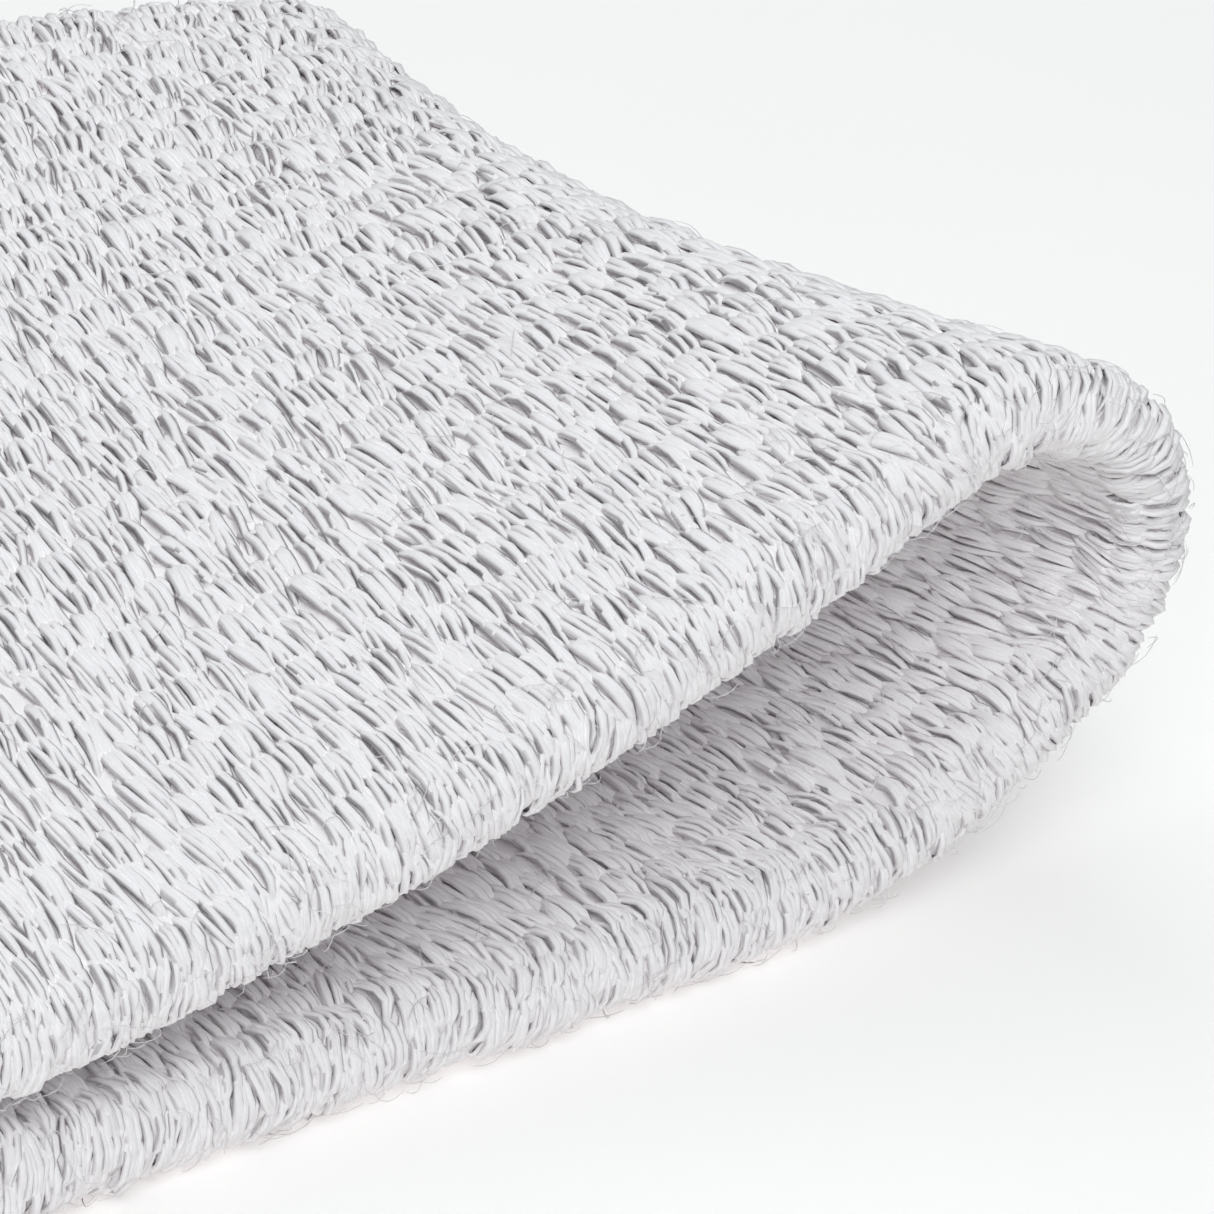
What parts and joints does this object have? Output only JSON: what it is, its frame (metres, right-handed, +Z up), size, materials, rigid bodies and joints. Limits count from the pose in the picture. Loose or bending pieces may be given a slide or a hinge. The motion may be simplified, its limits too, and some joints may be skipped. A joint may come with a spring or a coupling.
{
  "type": "sports headband",
  "caption": "Wide stretch terry headband for racket sports, a double-ply looped knit with rolled edges, lying nearly flat with its folds open.",
  "frame": {"origin": "centre of the footprint on the surface that the band lies on", "axes": "+X along the flattened loop, +Y across the width from the sagging edge to the open edge, +Z up"},
  "size_m": [0.1936, 0.055, 0.0255],
  "materials": {
    "terry_pile": "soft white looped terry pile",
    "ground_knit": "fine white plain knit",
    "covered_elastic": "matt, covered with wound nylon",
    "sewing_thread": "twisted white thread"
  },
  "bodies": {
    "root": {"outer_pile": "terry_pile", "outer_ground_knit": "ground_knit", "inner_ground_knit": "ground_knit", "inner_pile": "terry_pile", "near_edge_roll": "terry_pile", "far_edge_roll": "terry_pile", "outer_elastic_yarns": "covered_elastic", "inner_elastic_yarns": "covered_elastic", "seam_allowance": "ground_knit", "linking_thread": "sewing_thread"}
  },
  "joints": []
}
